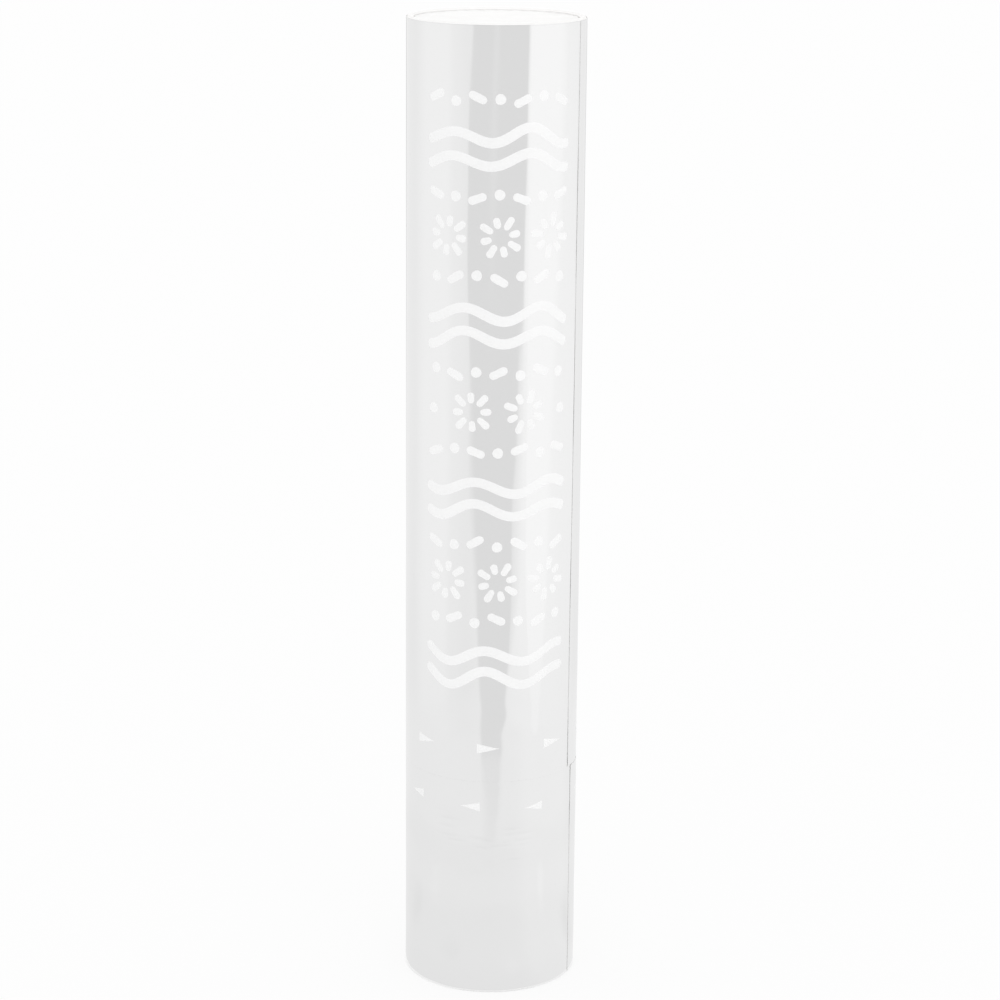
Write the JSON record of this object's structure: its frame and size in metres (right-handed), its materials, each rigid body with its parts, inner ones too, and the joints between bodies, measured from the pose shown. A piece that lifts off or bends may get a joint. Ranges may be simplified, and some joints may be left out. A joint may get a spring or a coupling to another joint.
{
  "type": "confetti popper",
  "caption": "Foil-wrapped card tube that fires confetti from its muzzle when its base is twisted to open a gas valve.",
  "frame": {"origin": "centre of the foot, on the surface that the tube stands on", "axes": "+Z along the tube to the muzzle, -Y to the printed front, +X to the right of the print"},
  "size_m": [0.05, 0.05, 0.28],
  "materials": {
    "silver_foil": "bright metallised foil on paper, printed in white",
    "white_ink": "white ink printed on the foil",
    "white_card": "wound card, white outside",
    "grey_card": "grey board",
    "white_paper": "matt white paper",
    "white_plastic": "satin moulding",
    "natural_plastic": "unpigmented moulding",
    "grey_plastic": "satin moulding",
    "bottle_aluminium": "drawn, satin",
    "black_rubber": "matt",
    "pin_steel": "ground",
    "foil_slips": "loose stacked foil slips",
    "tissue_slips": "loose stacked tissue slips"
  },
  "bodies": {
    "barrel": {"barrel_tube": "white_card", "barrel_wrap": "silver_foil", "spigot_tube": "white_card", "breech_cage": "white_plastic"},
    "base": {"base_tube": "white_card", "base_wrap": "silver_foil", "end_cap": "white_plastic", "bottle_cradle": "white_plastic", "gas_bottle": "bottle_aluminium", "fill_valve": "black_rubber", "valve_seat": "natural_plastic", "seat_gasket": "black_rubber", "cam_sleeve": "grey_plastic"},
    "plug": {"valve_plug": "natural_plastic", "plug_ring": "black_rubber", "cross_pin": "pin_steel"},
    "charge": {"pusher_cup": "white_plastic", "card_wad": "grey_card", "confetti_tier_1": "foil_slips", "confetti_tier_2": "tissue_slips", "confetti_tier_3": "foil_slips", "confetti_tier_4": "tissue_slips", "muzzle_seal": "white_paper"}
  },
  "joints": [
    {"name": "base_twist", "type": "hinge", "parent": "barrel", "child": "base", "pos_m": [0, 0, 0.065], "axis": [0, 0, -1], "range_deg": [0, 90]},
    {"name": "plug_lift", "type": "slide", "parent": "barrel", "child": "plug", "axis": [0, 0, 1], "range_m": [0, 0.0041]},
    {"name": "charge_shot", "type": "slide", "parent": "barrel", "child": "charge", "axis": [0, 0, 1], "range_m": [0, 0.19]}
  ],
  "couplings": [
    {"joint": "plug_lift", "follows": "base_twist", "m_per_rad": 0.0025465}
  ]
}
